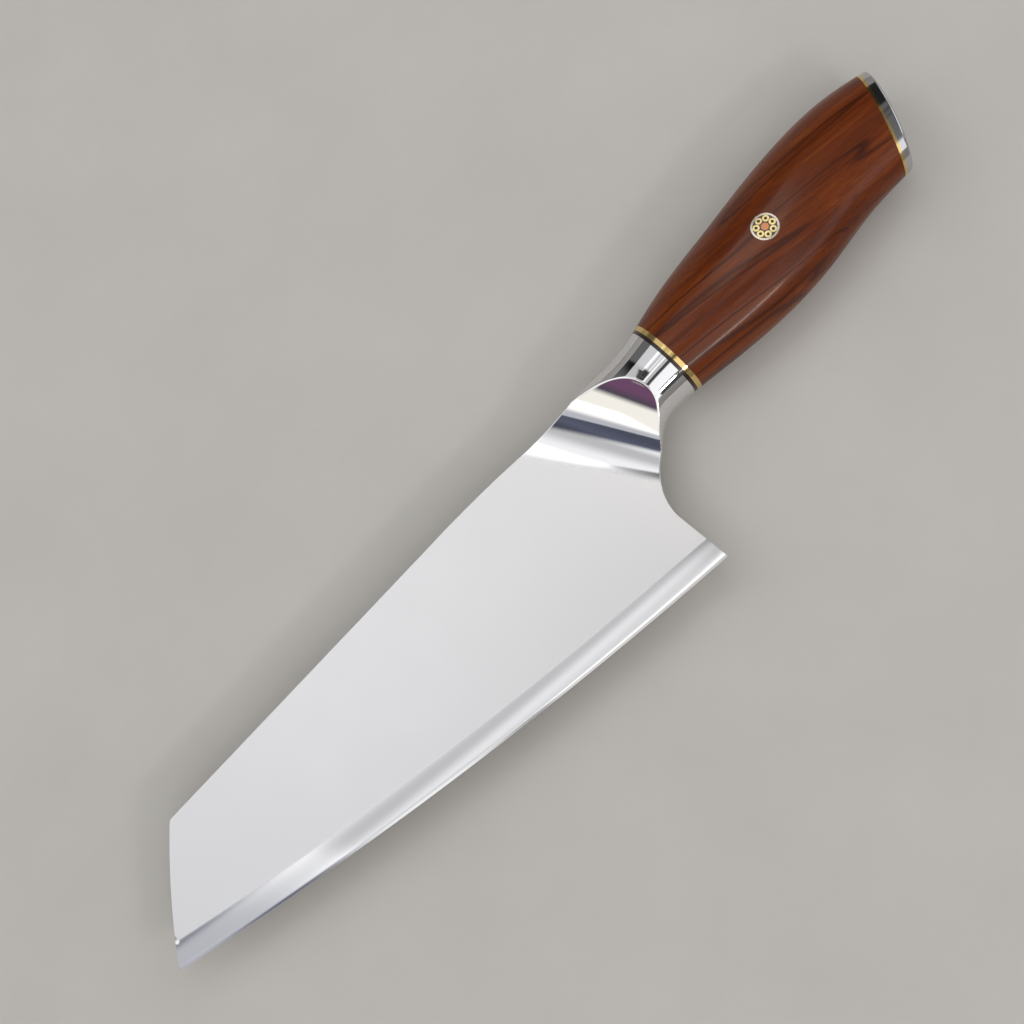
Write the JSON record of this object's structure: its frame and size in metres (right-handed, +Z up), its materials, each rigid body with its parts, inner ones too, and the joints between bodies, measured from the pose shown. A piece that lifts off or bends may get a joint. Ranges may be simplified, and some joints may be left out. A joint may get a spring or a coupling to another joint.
{
  "type": "kiritsuke knife",
  "caption": "Kiritsuke kitchen knife with a clipped front, a scooped one-piece steel bolster, a swelling oval wooden handle, dark and brass spacers, a mosaic pin and a polished end cap.",
  "frame": {"origin": "bottom centre of the box of the knife lying on its right side: the middle of the box in x and y, and the lowest point of the handle's right side in z", "axes": "+X from the tip towards the butt, +Y from the cutting edge towards the spine, +Z up out of the blade's left face; the blade's middle plane is level at z = 12.0 mm"},
  "size_m": [0.3118, 0.071, 0.024],
  "materials": {
    "blade_steel": "fine satin on the flat faces, polished bevel, mirror-polished bolster",
    "fibre": "polished dark red-black fibre",
    "brass": "polished",
    "handle_wood": "oiled and polished dark red-brown hardwood, grain along the handle",
    "bedding_resin": "hidden resin",
    "cap_steel": "mirror polished",
    "dowel_steel": "hidden, as drawn",
    "sleeve_steel": "polished flush with the wood",
    "copper": "polished copper, flush with the wood",
    "pin_resin": "polished flush"
  },
  "bodies": {
    "root": {"blade": "blade_steel", "front_spacer_fibre": "fibre", "front_spacer_brass": "brass", "handle_body": "handle_wood", "tang_bedding": "bedding_resin", "rear_spacer_brass": "brass", "end_cap": "cap_steel", "end_cap_dowels": "dowel_steel", "mosaic_pin_sleeve": "sleeve_steel", "mosaic_pin_rod": "copper", "mosaic_pin_resin": "pin_resin", "mosaic_pin_tube_1": "brass", "mosaic_pin_tube_2": "brass", "mosaic_pin_tube_3": "brass", "mosaic_pin_tube_4": "brass", "mosaic_pin_tube_5": "brass", "mosaic_pin_tube_6": "brass", "mosaic_pin_tube_7": "brass", "mosaic_pin_core_1": "pin_resin", "mosaic_pin_core_2": "pin_resin", "mosaic_pin_core_3": "pin_resin", "mosaic_pin_core_4": "pin_resin", "mosaic_pin_core_5": "pin_resin", "mosaic_pin_core_6": "pin_resin", "mosaic_pin_core_7": "pin_resin"}
  },
  "joints": []
}
